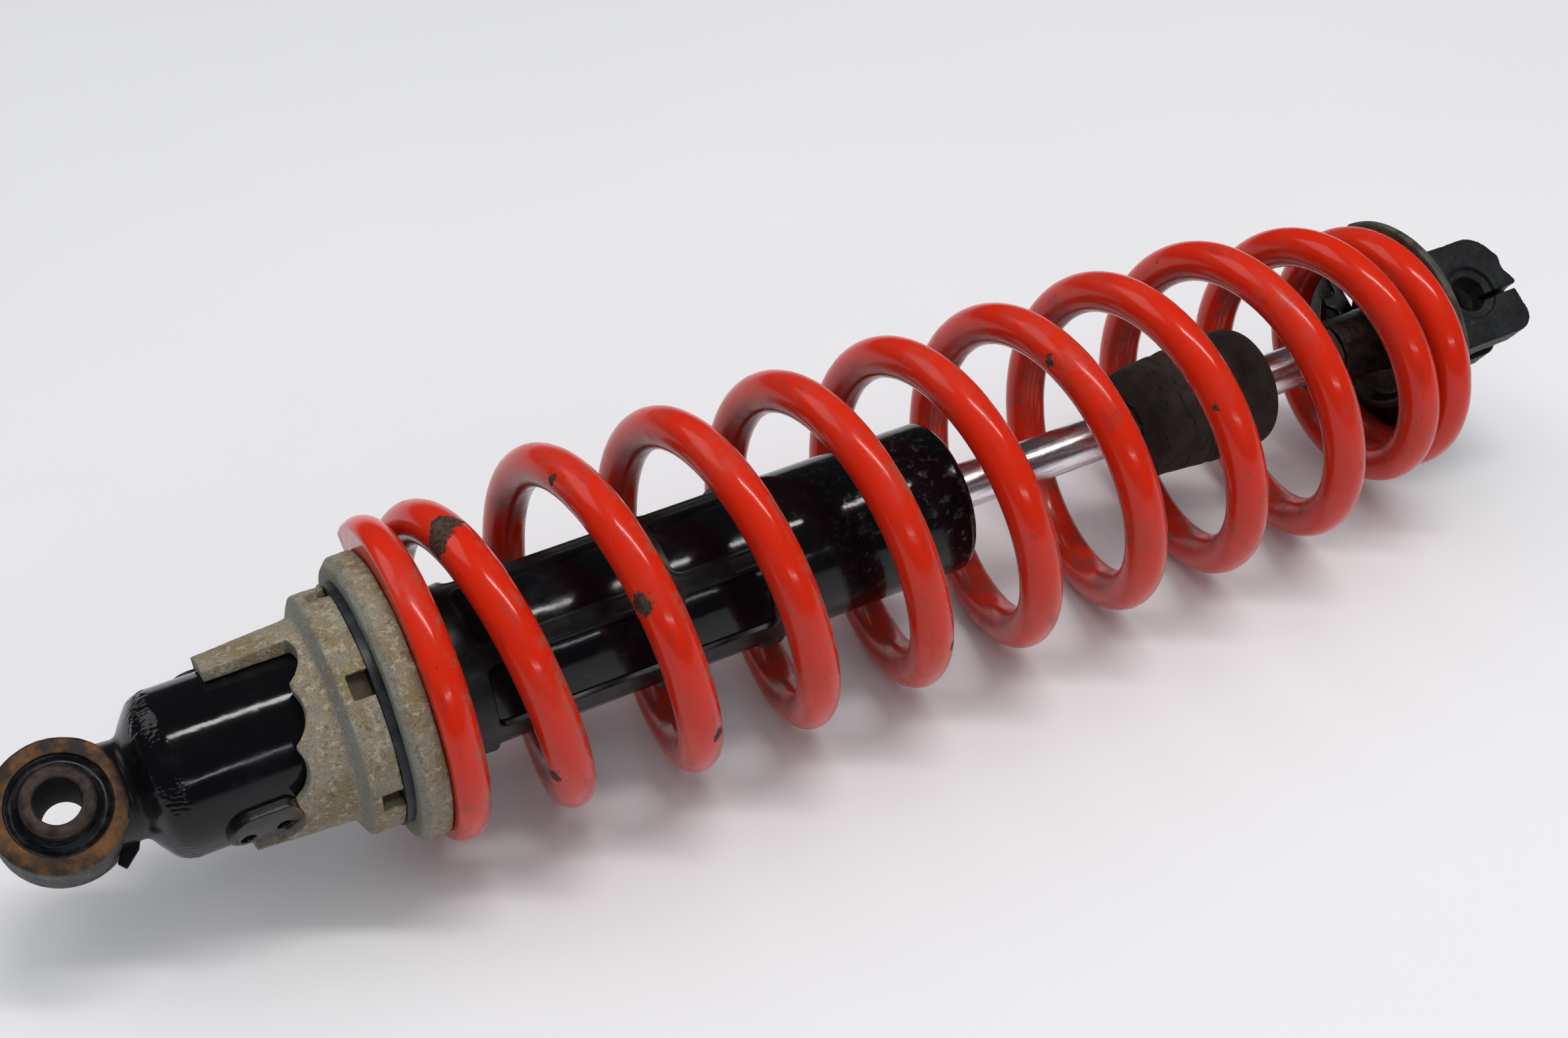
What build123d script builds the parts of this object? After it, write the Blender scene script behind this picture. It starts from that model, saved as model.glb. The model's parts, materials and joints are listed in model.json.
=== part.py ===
from build123d import *
from math import cos, pi, sin
import os

# Coil-over rear shock absorber, lying on its side. Millimetres.
# The origin is the centre of the eye bore. +X runs along the damper from the eye to the clevis, +Z is up.
# An angle about the damper axis is counted from +Y towards +Z.

# Overall places along the damper axis
PIN_ANGLE = 122.0            # direction of the eye and clevis bores about the damper axis
EYE_TO_CLEVIS = 398.0        # centre distance of the two mounting bores at full extension
FIT = 0.05                   # radial clearance of a running fit
GAP = 0.35                   # radial clearance of a loose sliding fit

# Eye end
BOLT_R = 5.15
EYE_SLEEVE_R = 8.2
EYE_SLEEVE_LENGTH = 28.0
EYE_RUBBER_R = 11.5
EYE_RUBBER_LENGTH = 19.5
EYE_RING_R = 15.4
EYE_RING_LENGTH = 18.5
EYE_RING_CHAMFER = 0.8

# End cap, its tab and the gas fill screw
CAP_START = 9.0
NECK_R = 12.2
NECK_END = 16.0
SHOULDER_START = (18.2, 16.2)    # place and radius where the rolled shoulder starts
SHOULDER_END = 23.5
CAP_ROUNDS = (2.0, 3.0, 4.0)     # at the neck, the shoulder and the tube
CAP_SPIGOT_END = 34.0
TAB_ANGLE = 222.0
TAB_PLACE = 11.4
TAB_R = 13.8
TAB_SLOPE = 35.0
TAB_LENGTH = 4.6
TAB_HEIGHT = 6.4
TAB_WIDTH = 3.0
PLUG_RADIUS_PLACE = 14.2     # distance of the gas fill screw from the damper axis
PLUG_R = 2.0
PLUG_START = 19.5
PLUG_END = 30.0
PLUG_ANGLE = PIN_ANGLE + 180.0

# Damper tube
TUBE_R = 20.0
TUBE_BORE_R = 17.5
TUBE_START = 26.0
TUBE_END = 227.0
TUBE_LIP = 1.8
TUBE_LIP_R = 13.0
TUBE_END_ROUND = 2.4

# Preload cam, slip ring, spring seat and guide sleeve
SLIDER_R = TUBE_R + GAP
CAM_START = 37.0
CAM_SMALL_R = 23.3
CAM_SHOULDER = 60.0
CAM_WAIST_R = 24.7           # outer radius where the flange begins
CAM_FLANGE_START = 62.2
CAM_LARGE_R = 29.3
CAM_END = 69.4
CAM_STEPS = 4
CAM_PITCH = 33.0             # angle between neighbouring cam pockets
CAM_LIFT = 3.2               # axial rise from one pocket to the next
CAM_FIRST_ANGLE = 91.0
CAM_FIRST_EDGE = 57.6
CAM_POCKET_R = 8.9
CAM_POCKET_BEFORE = (13.0, 1.0)  # angle and depth of the ridge before a pocket
CAM_POCKET_AFTER = (20.0, 4.4)   # angle and depth of the ridge after it
FINGER_ANGLES = (45.0, 80.0)
NOTCH_COUNT = 6
NOTCH_ANGLE = 125.5
NOTCH_WIDTH = 6.1
NOTCH_LENGTH = 5.1
NOTCH_DEPTH = 3.6
SLIP_START = CAM_END + 0.1
SLIP_R = 29.8
SEAT_START = 71.6
SEAT_FACE = 78.9
SEAT_R = 35.1
SPIGOT_R = 27.6
SPIGOT_END = 83.0
SLEEVE_R = 21.2
SLEEVE_START = 79.5
SLEEVE_END = 172.0
WINDOW_ROWS = 6
WINDOW_ANGLE = 101.0
WINDOW_ARC = 44.0
WINDOWS = ((96.0, 139.5), (146.0, 168.0))

# Cam stop lugs welded to the tube
LUG_ANGLE = 195.0
LUG_START = 30.4
LUG_END = 44.9
LUG_WIDTH = 12.6
LUG_R = 22.0
LUG_FLOOR_R = 21.2
LUG_RIM = 1.6
LUG_HOLE_R = 1.3
LUG_HOLES = (34.7, 41.2)

# Rod, piston and what is on them
ROD_R = 6.0
ROD_SPIGOT_R = 4.0
ROD_START = 166.0
ROD_SHOULDER = 192.0
ROD_END = 370.0
PISTON_START = 178.0
PISTON_END = 190.4
PISTON_R = 17.0
PISTON_PORTS = 6
PORT_R = 1.6
PORT_PLACE = 10.5
BAND_START = 181.2
BAND_END = 187.2
BAND_DEPTH = 1.0
SHIM_THICKNESS = 0.4
COMPRESSION_SHIMS = (9.0, 10.5, 12.0, 13.5, 13.5)
REBOUND_SHIMS = (13.0, 13.0, 11.0)
SHIM_START = PISTON_START - SHIM_THICKNESS * len(COMPRESSION_SHIMS)
NUT_START = 168.5
BUMPER_END = 202.6
LOCK_NUT_START = 346.0
PISTON_NUT_FLATS = 13.0
LOCK_NUT_FLATS = 16.0
NUT_CHAMFER = 0.9
TOP_OUT_WASHER_R = 12.0
TOP_OUT_BUMPER_R = 11.0
FLOATING_START = 58.0
FLOATING_END = 70.0
FLOATING_POCKET_R = 11.0
FLOATING_POCKET_DEPTH = 5.0

# Seal head at the open end of the tube
HEAD_START = 203.0
HEAD_END = 221.0
BUSH_R = 7.6
BUSH_SEAT_END = 213.0
SEAL_R = 11.0
SEAL_SEAT_START = 214.5
SEAL_START = 215.0
SEAL_END = 220.6
HEAD_GROOVE_MIDDLE = 209.3
GROOVE_HALF = 1.3
GROOVE_R = 15.0
CORD_R = 1.23                # section radius of the O-rings
CLIP_START = HEAD_END + 0.2
CLIP_END = CLIP_START + 1.6
CLIP_R = 18.3
WIPER_START = 223.2
WIPER_SHOULDER = 227.2
WIPER_END = 228.8
CLIP_BORE_R = 14.0
WIPER_LIP_R = 7.6
WIPER_SHOULDER_R = 8.6

# Bump stop
BUMP_START = 287.0
BUMP_END = 326.0
BUMP_R = 16.6
BUMP_NOSE_R = (14.6, 16.0)   # at the end face and just behind it
BUMP_BODY_R = 16.3
BUMP_WAIST = 305.8           # middle of the groove round it
BUMP_WAIST_R = 15.5
BUMP_ROUND = 4.5

# Clevis end
NECK_START = 354.0
CLEVIS_NECK_R = 9.2
FLANGE_START = 377.0
FLANGE_R = 17.2
FORK_START = 380.0
FORK_LENGTH = 26.0           # across the two ears, along the bolt
EAR_HALF_WIDTH = 15.2
EAR_NOSE = 15.7              # from the bore to the end of the ear
EAR_LOWER = (9.4, -15.6)     # corners of the ear before rounding, from the bore
EAR_HEEL = (14.3, -7.4)
EAR_UPPER = (15.2, 15.0)
EAR_ROUNDS = (9.0, 5.5)      # at the lower and the upper corner
FORK_SLOT_START = 386.0
FORK_SLOT = 9.0
GROOVE_WIDTH = 1.4           # keying groove across the near ear
GROOVE_DEPTH = 5.0
GROOVE_OFFSET = 2.3
RECESS_R = 7.7
RECESS_DEPTH = 1.4
RETAINER_FACE = 374.0
RETAINER_R = 32.6
RETAINER_SLOT_ANGLE = 30.0
RETAINER_FIT = 0.3
CUP_FLOOR = (371.5, 16.6)    # place and radius of the cup's floor corner
CUP_RIM = (369.0, 18.4)      # inner edge of the cup's rim
CUP_R = (20.8, 21.2)         # outer radius at the rim and at the spring face

# Spring
WIRE_R = 5.4
COIL_R = 39.3
COIL_START_R = 35.0
COIL_END_R = 30.3
COIL_PITCH = 31.6
COIL_CLOSED_PITCH = 10.8     # pitch of the last turn, against the retainer
COIL_FIRST = 82.4            # wire centre of the closed coil at the seat
COIL_FRONT_ANGLE = 135.0     # angle of the wire at a whole number of turns
COIL_TURNS = (-0.28, 10.45)
COIL_RISE = (0.07, 0.6)      # turn where the pitch starts to open, and the turns it takes
COIL_FALL = (8.87, 0.6)      # turn where the pitch starts to close, and the turns it takes
COIL_LEAN = (3.1, 0.0155)    # the spring stands off the damper axis by first - second * place
COIL_LEAN_ANGLE = 45.0
POINTS_PER_TURN = 12


def turned(points, rounds=()):
    """Solid of revolution about the damper axis from (x, radius) points."""
    outline = make_face(Polyline(*points, close=True)).face()
    for place, radius in rounds:
        corner = outline.vertices().sort_by_distance(Vector(*place))[0]
        outline = outline.fillet_2d(radius, [corner])
    return revolve(outline, Axis.X)


def ring(start, end, inner, outer):
    """Plain ring about the damper axis."""
    return turned([(start, inner), (end, inner), (end, outer), (start, outer)])


def sector(start, end, inner, outer, first, last):
    """Part of a ring between two angles about the damper axis."""
    face = make_face(Polyline((start, inner), (end, inner), (end, outer), (start, outer), close=True))
    return Rot(X=first) * revolve(face, Axis.X, revolution_arc=last - first)


def cross_pin(place, radius, length):
    """Cylinder at a place on the damper axis, lying along the mounting bolts."""
    return Rot(X=PIN_ANGLE) * Pos(X=place) * Rot(X=90) * Cylinder(radius, length)


def cross_box(start, end, across, along_bolt):
    """Box whose sides follow the mounting bolts."""
    middle = (start + end) / 2
    return Rot(X=PIN_ANGLE) * Pos(X=middle) * Box(end - start, along_bolt, across)


def smooth(share):
    share = min(max(share, 0.0), 1.0)
    return share * share * (3 - 2 * share)


def smooth_area(share):
    """Area under smooth() from 0 to share."""
    inside = min(max(share, 0.0), 1.0)
    return inside ** 3 - inside ** 4 / 2 + max(share - 1.0, 0.0)


# ---------------------------------------------------------------- eye end

def make_eye_ring():
    body = cross_pin(0, EYE_RING_R, EYE_RING_LENGTH)
    body = chamfer(body.edges().filter_by(GeomType.CIRCLE), EYE_RING_CHAMFER)
    return body - cross_pin(0, EYE_RUBBER_R, EYE_RING_LENGTH + 2)


def make_eye_rubber():
    body = cross_pin(0, EYE_RUBBER_R, EYE_RUBBER_LENGTH)
    return body - cross_pin(0, EYE_SLEEVE_R + FIT, EYE_RUBBER_LENGTH + 2)


def make_eye_sleeve():
    body = cross_pin(0, EYE_SLEEVE_R, EYE_SLEEVE_LENGTH)
    body = chamfer(body.edges().filter_by(GeomType.CIRCLE), EYE_RING_CHAMFER)
    return body - cross_pin(0, BOLT_R, EYE_SLEEVE_LENGTH + 2)


def make_end_cap():
    corners = [(NECK_END, NECK_R), SHOULDER_START, (SHOULDER_END, TUBE_R)]
    profile = [(CAP_START, 0), (CAP_START, NECK_R), *corners, (TUBE_START, TUBE_R),
               (TUBE_START, TUBE_BORE_R), (CAP_SPIGOT_END, TUBE_BORE_R), (CAP_SPIGOT_END, 0)]
    body = turned(profile, list(zip(corners, CAP_ROUNDS)))
    tab = Pos(X=TAB_PLACE, Y=TAB_R) * Rot(Z=TAB_SLOPE) * Box(TAB_LENGTH, TAB_HEIGHT, TAB_WIDTH)
    body = body + Rot(X=TAB_ANGLE) * tab
    body = body - cross_pin(0, EYE_RING_R, 3 * EYE_RING_LENGTH)
    screw_hole = Pos(Y=PLUG_RADIUS_PLACE) * x_cylinder(PLUG_START - 5, PLUG_END, PLUG_R + FIT)
    return body - Rot(X=PLUG_ANGLE) * screw_hole


def x_cylinder(start, end, radius):
    """Cylinder along X between two places."""
    return Pos(X=(start + end) / 2) * Rot(Y=90) * Cylinder(radius, end - start)


def make_gas_screw():
    screw = Pos(Y=PLUG_RADIUS_PLACE) * x_cylinder(PLUG_START, PLUG_END, PLUG_R)
    socket = Pos(Y=PLUG_RADIUS_PLACE) * Rot(Y=90) * extrude(RegularPolygon(1.0, 6), 2 * PLUG_R)
    socket = Pos(X=PLUG_START - PLUG_R) * socket
    return Rot(X=PLUG_ANGLE) * (screw - socket)


# ---------------------------------------------------------------- damper tube and its seal head


def make_tube():
    lip_start = TUBE_END - TUBE_LIP
    profile = [(TUBE_START, TUBE_BORE_R), (TUBE_START, TUBE_R), (TUBE_END, TUBE_R), (TUBE_END, TUBE_LIP_R),
               (lip_start, TUBE_LIP_R), (lip_start, TUBE_BORE_R)]
    body = turned(profile, [((TUBE_END, TUBE_R), TUBE_END_ROUND)])
    return body - ring(CLIP_START - 0.1, CLIP_END + 0.1, TUBE_BORE_R - 1, CLIP_R + 0.1)


def make_lugs():
    """Two stamped lugs, half a turn apart, that the cam rests on."""
    lugs = []
    length = LUG_END - LUG_START
    middle = (LUG_START + LUG_END) / 2
    for angle in (LUG_ANGLE, LUG_ANGLE + 180):
        plate = extrude(SlotOverall(length, LUG_WIDTH), 2 * LUG_R)
        well = extrude(SlotOverall(length - 2 * LUG_RIM, LUG_WIDTH - 2 * LUG_RIM), 2 * LUG_R)
        plate = Pos(X=middle) * Rot(X=-90) * plate
        well = Pos(X=middle) * Rot(X=-90) * well
        lug = plate & ring(LUG_START - 1, LUG_END + 1, TUBE_R, LUG_R)
        lug = lug - (well & ring(LUG_START - 1, LUG_END + 1, LUG_FLOOR_R, LUG_R + 1))
        for place in LUG_HOLES:
            lug = lug - Pos(X=place, Y=LUG_R) * Rot(X=90) * Cylinder(LUG_HOLE_R, 2 * (LUG_R - TUBE_R) + 4)
        lugs.append(Rot(X=angle) * lug)
    return Compound(children=lugs)


def o_ring_groove(middle):
    return ring(middle - GROOVE_HALF, middle + GROOVE_HALF, GROOVE_R, TUBE_BORE_R + 1)


def make_seal_head():
    inner_steps = [(HEAD_START, BUSH_R), (BUSH_SEAT_END, BUSH_R), (BUSH_SEAT_END, ROD_R + 0.5),
                   (SEAL_SEAT_START, ROD_R + 0.5), (SEAL_SEAT_START, SEAL_R), (HEAD_END, SEAL_R)]
    body = turned(inner_steps + [(HEAD_END, TUBE_BORE_R), (HEAD_START, TUBE_BORE_R)])
    return body - o_ring_groove(HEAD_GROOVE_MIDDLE)


def make_o_ring(middle):
    section = Pos(middle, TUBE_BORE_R - CORD_R - FIT / 2) * Circle(CORD_R)
    return revolve(section, Axis.X)


def make_wiper():
    profile = [(WIPER_START, ROD_R + FIT), (WIPER_END, ROD_R + FIT), (WIPER_END, WIPER_LIP_R),
               (WIPER_SHOULDER, WIPER_SHOULDER_R), (WIPER_SHOULDER, TUBE_LIP_R), (WIPER_START, TUBE_LIP_R)]
    return turned(profile)


# ---------------------------------------------------------------- gas separation

def make_floating_piston():
    floor = FLOATING_END - FLOATING_POCKET_DEPTH
    body = turned([(FLOATING_START, 0), (FLOATING_START, TUBE_BORE_R - FIT), (FLOATING_END, TUBE_BORE_R - FIT),
                   (FLOATING_END, FLOATING_POCKET_R), (floor, FLOATING_POCKET_R), (floor, 0)])
    middle = (FLOATING_START + FLOATING_END) / 2
    return body - o_ring_groove(middle)


# ---------------------------------------------------------------- preload cam and spring seat

def make_preload_cam():
    profile = [(CAM_START, SLIDER_R), (CAM_START, CAM_SMALL_R), (CAM_SHOULDER, CAM_WAIST_R),
               (CAM_FLANGE_START, CAM_LARGE_R), (CAM_END, CAM_LARGE_R), (CAM_END, SLIDER_R)]
    body = turned(profile, [((CAM_SHOULDER, CAM_WAIST_R), 1.5), ((CAM_FLANGE_START, CAM_LARGE_R), 1.0)])
    cut_inner, cut_outer = SLIDER_R - 1, CAM_LARGE_R + 1
    for half in (0, 180):
        finger_start, finger_end = FINGER_ANGLES[0] + half, FINGER_ANGLES[1] + half
        finger = sector(CAM_START, CAM_END, cut_inner - 2, cut_outer + 2, finger_start, finger_end)
        for step in range(CAM_STEPS):
            middle = CAM_FIRST_ANGLE + CAM_PITCH * step
            first = FINGER_ANGLES[1] if step == 0 else middle - CAM_POCKET_BEFORE[0]
            last = FINGER_ANGLES[0] + 180 if step == CAM_STEPS - 1 else middle + CAM_POCKET_AFTER[0]
            edge = CAM_FIRST_EDGE - CAM_LIFT * step
            before = edge - CAM_POCKET_BEFORE[1]
            after = edge - CAM_POCKET_AFTER[1]
            body = body - sector(CAM_START - 5, before, cut_inner, cut_outer, first + half, middle + half)
            body = body - sector(CAM_START - 5, after, cut_inner, cut_outer, middle + half, last + half)
            pocket = Pos(X=edge - CAM_POCKET_R, Y=CAM_LARGE_R / 2 + SLIDER_R / 2) * Rot(X=90)
            pocket = pocket * Cylinder(CAM_POCKET_R, CAM_LARGE_R - SLIDER_R + 4)
            pocket = Rot(X=middle + half) * pocket
            body = body - (pocket - finger)
    for index in range(NOTCH_COUNT):
        notch = Box(NOTCH_LENGTH * 2, NOTCH_DEPTH * 2, NOTCH_WIDTH)
        notch = Pos(X=CAM_END, Y=CAM_LARGE_R) * notch
        body = body - Rot(X=NOTCH_ANGLE + index * 360 / NOTCH_COUNT) * notch
    return body


def make_slip_ring():
    return ring(SLIP_START, SEAT_START, SLIDER_R, SLIP_R)


def make_spring_seat():
    profile = [(SEAT_START, SLIDER_R), (SEAT_START, SEAT_R - 1.8), (SEAT_START + 1.8, SEAT_R),
               (SEAT_FACE, SEAT_R), (SEAT_FACE, SPIGOT_R), (SPIGOT_END, SPIGOT_R - 0.6),
               (SPIGOT_END, SLEEVE_R + FIT), (SLEEVE_START, SLEEVE_R + FIT), (SLEEVE_START, SLIDER_R)]
    return turned(profile, [((SEAT_FACE, SEAT_R), 0.8)])


def make_guide_sleeve():
    body = ring(SLEEVE_START, SLEEVE_END, SLIDER_R, SLEEVE_R)
    for row in range(WINDOW_ROWS):
        first = WINDOW_ANGLE - WINDOW_ARC / 2 + row * 360 / WINDOW_ROWS
        for start, end in WINDOWS:
            body = body - sector(start, end, SLIDER_R - 1, SLEEVE_R + 1, first, first + WINDOW_ARC)
    return body


# ---------------------------------------------------------------- rod and piston


def make_rod():
    profile = [(ROD_START, 0), (ROD_START, ROD_SPIGOT_R - 0.5), (ROD_START + 0.5, ROD_SPIGOT_R),
               (ROD_SHOULDER, ROD_SPIGOT_R), (ROD_SHOULDER, ROD_R), (ROD_END - 1, ROD_R), (ROD_END, ROD_R - 1),
               (ROD_END, 0)]
    return turned(profile)


def make_piston():
    body = ring(PISTON_START, PISTON_END, ROD_SPIGOT_R, PISTON_R)
    body = body - ring(BAND_START, BAND_END, PISTON_R - BAND_DEPTH, PISTON_R + 1)
    for index in range(PISTON_PORTS):
        port = Pos(Y=PORT_PLACE) * x_cylinder(PISTON_START - 1, PISTON_END + 1, PORT_R)
        body = body - Rot(X=index * 360 / PISTON_PORTS) * port
    return body


def make_shims(start, radii):
    """Stack of thin valve discs, one solid each."""
    discs = []
    for index, radius in enumerate(radii):
        place = start + index * SHIM_THICKNESS
        discs.append(ring(place, place + SHIM_THICKNESS, ROD_SPIGOT_R, radius))
    return Compound(children=discs)


def hex_nut(start, end, across_flats, bore):
    corner_r = across_flats / 2 / cos(pi / 6)
    body = Pos(X=start) * Rot(Y=90) * extrude(RegularPolygon(corner_r, 6), end - start)
    chamfered = turned([(start, 0), (start, across_flats / 2), (start + NUT_CHAMFER, corner_r),
                        (end - NUT_CHAMFER, corner_r), (end, across_flats / 2), (end, 0)])
    return (body & chamfered) - x_cylinder(start - 1, end + 1, bore)


def make_bump_stop():
    bore = ROD_R + GAP
    profile = [(BUMP_START, bore), (BUMP_START, BUMP_NOSE_R[0]), (BUMP_START + 2.5, BUMP_NOSE_R[1]),
               (BUMP_WAIST - 1.8, BUMP_BODY_R), (BUMP_WAIST - 0.6, BUMP_WAIST_R),
               (BUMP_WAIST + 0.6, BUMP_WAIST_R), (BUMP_WAIST + 1.8, BUMP_R), (BUMP_END, BUMP_R),
               (BUMP_END, bore)]
    return turned(profile, [((BUMP_END, BUMP_R), BUMP_ROUND)])


# ---------------------------------------------------------------- clevis end

def make_fork():
    """Block whose outline is that of the two ears: rounded above, stepped at the end and cut off below."""
    start = FORK_START - EYE_TO_CLEVIS
    outline = Polyline((start, -EAR_HALF_WIDTH), EAR_LOWER, EAR_HEEL, (EAR_NOSE - 2.1, -3.8), (EAR_NOSE, 0.9),
                       (EAR_NOSE - 1.5, 2.4), EAR_UPPER, (start, EAR_HALF_WIDTH), close=True)
    face = make_face(outline).face()
    for corner, radius in zip((EAR_LOWER, EAR_UPPER), EAR_ROUNDS):
        face = face.fillet_2d(radius, [face.vertices().sort_by_distance(Vector(*corner))[0]])
    block = Rot(X=90) * extrude(face, FORK_LENGTH / 2, both=True)
    return Rot(X=PIN_ANGLE) * Pos(X=EYE_TO_CLEVIS) * block


def make_clevis():
    stem = turned([(NECK_START, 0), (NECK_START, CLEVIS_NECK_R), (FLANGE_START, CLEVIS_NECK_R),
                   (FLANGE_START, FLANGE_R), (FORK_START + 3, FLANGE_R), (FORK_START + 3, 0)],
                  [((FLANGE_START, FLANGE_R), 1.0)])
    body = stem + make_fork()
    tip = EYE_TO_CLEVIS + EAR_NOSE + 1
    body = body - cross_box(FORK_SLOT_START, tip, 2 * EAR_HALF_WIDTH + 2, FORK_SLOT)
    groove = Box(EAR_NOSE, 2 * GROOVE_DEPTH, GROOVE_WIDTH)
    groove = Pos(X=EYE_TO_CLEVIS + BOLT_R / 2 + EAR_NOSE / 2, Y=FORK_LENGTH / 2, Z=GROOVE_OFFSET) * groove
    body = body - Rot(X=PIN_ANGLE) * groove
    body = body - cross_pin(EYE_TO_CLEVIS, BOLT_R, FORK_LENGTH + 2)
    body = body - (cross_pin(EYE_TO_CLEVIS, RECESS_R, FORK_LENGTH + 2)
                   - cross_pin(EYE_TO_CLEVIS, RECESS_R + 1, FORK_LENGTH - 2 * RECESS_DEPTH))
    return body - x_cylinder(NECK_START - 1, ROD_END + 1.5, ROD_R)


def make_retainer():
    bore = CLEVIS_NECK_R + RETAINER_FIT
    profile = [(CUP_FLOOR[0], bore), CUP_FLOOR, CUP_RIM, (CUP_RIM[0], CUP_R[0]), (RETAINER_FACE, CUP_R[1]),
               (RETAINER_FACE, RETAINER_R), (FLANGE_START - 1, RETAINER_R), (FLANGE_START, RETAINER_R - 1),
               (FLANGE_START, bore)]
    body = turned(profile)
    thick = FLANGE_START - CUP_RIM[0]
    slot = Pos(X=FLANGE_START - thick / 2, Y=RETAINER_R / 2 + 1) * Box(thick + 2, RETAINER_R + 2, 2 * bore)
    return body - Rot(X=RETAINER_SLOT_ANGLE) * slot


# ---------------------------------------------------------------- spring

def coil_point(turn):
    """Place, radius and angle of the wire centre at a number of turns from the seat."""
    opened = COIL_RISE[1] * smooth_area((turn - COIL_RISE[0]) / COIL_RISE[1])
    closed = COIL_FALL[1] * smooth_area((turn - COIL_FALL[0]) / COIL_FALL[1])
    place = COIL_FIRST + COIL_PITCH * opened - (COIL_PITCH - COIL_CLOSED_PITCH) * closed
    radius = COIL_START_R + (COIL_R - COIL_START_R) * smooth(turn - 0.8)
    radius = radius + (COIL_END_R - COIL_R) * smooth((turn - 8.0) / 1.6)
    angle = 2 * pi * turn + COIL_FRONT_ANGLE * pi / 180
    return place, radius, angle


def rounded_path(points):
    """Straight runs joined by tangent arcs, as one wire."""
    share = 0.45
    edges = []
    previous = None
    for before, corner, after in zip(points, points[1:], points[2:]):
        reach = share * min((corner - before).length, (after - corner).length)
        entry = corner + (before - corner).normalized() * reach
        leave = corner + (after - corner).normalized() * reach
        inward = (entry + leave) * 0.5 - corner
        half_chord = (leave - entry).length / 2
        arc_r = reach * half_chord / inward.length
        from_corner = reach ** 2 / inward.length - arc_r
        middle = corner + inward.normalized() * from_corner
        edges.append(Line(previous or before, entry))
        edges.append(ThreePointArc(entry, middle, leave))
        previous = leave
    edges.append(Line(previous, points[-1]))
    return Wire(edges)


def make_spring():
    count = round((COIL_TURNS[1] - COIL_TURNS[0]) * POINTS_PER_TURN)
    corner_scale = 1 / cos(pi / POINTS_PER_TURN)
    points = []
    for index in range(count + 1):
        turn = COIL_TURNS[0] + (COIL_TURNS[1] - COIL_TURNS[0]) * index / count
        place, radius, angle = coil_point(turn)
        radius = radius * corner_scale
        lean = COIL_LEAN[0] - COIL_LEAN[1] * place
        y = radius * cos(angle) + lean * cos(COIL_LEAN_ANGLE * pi / 180)
        z = radius * sin(angle) + lean * sin(COIL_LEAN_ANGLE * pi / 180)
        points.append(Vector(place, y, z))
    path = rounded_path(points)
    section = Plane(origin=path @ 0, z_dir=path % 0) * Circle(WIRE_R)
    wire = sweep(section, path=path)
    big = COIL_R + 3 * WIRE_R
    return wire & x_cylinder(SEAT_FACE, RETAINER_FACE, big)


nodes = {
    "eye_ring": make_eye_ring(),
    "eye_rubber_bush": make_eye_rubber(),
    "eye_inner_sleeve": make_eye_sleeve(),
    "damper_end_cap": make_end_cap(),
    "gas_fill_screw": make_gas_screw(),
    "damper_tube": make_tube(),
    "cam_stop_lugs": make_lugs(),
    "floating_piston": make_floating_piston(),
    "floating_piston_o_ring": make_o_ring((FLOATING_START + FLOATING_END) / 2),
    "preload_cam": make_preload_cam(),
    "slip_ring": make_slip_ring(),
    "spring_seat": make_spring_seat(),
    "spring_guide_sleeve": make_guide_sleeve(),
    "seal_head": make_seal_head(),
    "seal_head_o_ring": make_o_ring(HEAD_GROOVE_MIDDLE),
    "rod_guide_bush": ring(HEAD_START + 0.5, BUSH_SEAT_END - 0.2, ROD_R + FIT, BUSH_R),
    "rod_oil_seal": ring(SEAL_START, SEAL_END, ROD_R + FIT, SEAL_R - 0.02),
    "seal_head_circlip": ring(CLIP_START, CLIP_END, CLIP_BORE_R, CLIP_R),
    "dust_wiper": make_wiper(),
    "damper_rod": make_rod(),
    "main_piston": make_piston(),
    "piston_band": ring(BAND_START, BAND_END, PISTON_R - BAND_DEPTH, TUBE_BORE_R - FIT),
    "compression_shims": make_shims(SHIM_START, COMPRESSION_SHIMS),
    "rebound_shims": make_shims(PISTON_END, REBOUND_SHIMS),
    "piston_nut": hex_nut(NUT_START, SHIM_START, PISTON_NUT_FLATS, ROD_SPIGOT_R),
    "top_out_washer": ring(ROD_SHOULDER - SHIM_THICKNESS, ROD_SHOULDER, ROD_SPIGOT_R, TOP_OUT_WASHER_R),
    "top_out_bumper": ring(ROD_SHOULDER, BUMPER_END, ROD_R, TOP_OUT_BUMPER_R),
    "bump_stop": make_bump_stop(),
    "rod_lock_nut": hex_nut(LOCK_NUT_START, NECK_START, LOCK_NUT_FLATS, ROD_R),
    "clevis": make_clevis(),
    "spring_retainer": make_retainer(),
    "coil_spring": make_spring(),
}

os.makedirs("parts", exist_ok=True)
for name, shape in nodes.items():
    shape.label = name
    export_step(shape, "parts/" + name + ".step")
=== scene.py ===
import json
from math import ceil, cos, hypot, pi, radians, sin, sqrt

import bmesh
import bpy
import numpy as np
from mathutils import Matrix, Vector, noise


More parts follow.
